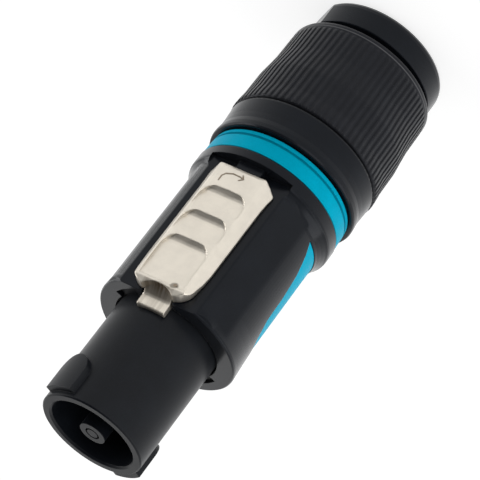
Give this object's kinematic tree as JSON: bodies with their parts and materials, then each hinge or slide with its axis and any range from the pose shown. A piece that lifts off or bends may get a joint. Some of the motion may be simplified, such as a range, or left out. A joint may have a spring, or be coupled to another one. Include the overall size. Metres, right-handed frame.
{
  "type": "speaker cable connector",
  "caption": "Twist-lock speaker cable connector with a hollow bayonet nose, a sprung thumb latch, coloured accents and a ribbed screw-on cable clamp.",
  "frame": {"origin": "centre of the flat cable-end face, on the connector's axis", "axes": "+Z along the axis from the cable end to the nose; -Y from the axis towards the thumb latch"},
  "size_m": [0.026, 0.026, 0.08],
  "materials": {
    "housing_plastic": "fine satin grain, glass-filled polyamide",
    "accent_plastic": "satin turquoise",
    "insert_plastic": "satin black",
    "contact_metal": "plated copper alloy",
    "screw_steel": "zinc plated",
    "latch_metal": "satin nickel on die-cast zinc",
    "spring_steel": "bright drawn wire",
    "chuck_plastic": "natural white acetal",
    "bushing_plastic": "smooth satin black",
    "grip_rubber": "soft satin black",
    "gland_rubber": "matt black"
  },
  "bodies": {
    "housing": {"housing_shell": "housing_plastic", "accent_sleeve": "accent_plastic", "contact_insert": "insert_plastic", "contact_1_plus": "contact_metal", "contact_1_minus": "contact_metal", "contact_2_plus": "contact_metal", "contact_2_minus": "contact_metal", "terminal_screw_1_plus": "screw_steel", "terminal_screw_1_minus": "screw_steel", "terminal_screw_2_plus": "screw_steel", "terminal_screw_2_minus": "screw_steel", "wire_clamp_1_plus": "screw_steel", "wire_clamp_1_minus": "screw_steel", "wire_clamp_2_plus": "screw_steel", "wire_clamp_2_minus": "screw_steel", "latch_spring": "spring_steel"},
    "latch": {"latch_slider": "latch_metal"},
    "chuck": {"chuck_collet": "chuck_plastic"},
    "bushing": {"bushing_shell": "bushing_plastic", "grip_sleeve": "grip_rubber", "gland_ring": "gland_rubber"}
  },
  "joints": [
    {"name": "latch_slide", "type": "slide", "parent": "housing", "child": "latch", "axis": [0, 0, -1], "range_m": [0, 0.0016], "stiffness_N_per_m": 600, "springref_m": -0.004, "deforming": ["latch_spring"]},
    {"name": "chuck_travel", "type": "slide", "parent": "housing", "child": "chuck", "axis": [0, 0, -1], "range_m": [0, 0.006]},
    {"name": "bushing_turn", "type": "hinge", "parent": "chuck", "child": "bushing", "pos_m": [0, 0, 0.015], "axis": [0, 0, -1], "range_deg": [0, 1080]}
  ],
  "couplings": [
    {"joint": "chuck_travel", "follows": "bushing_turn", "m_per_rad": 0.0003183}
  ]
}
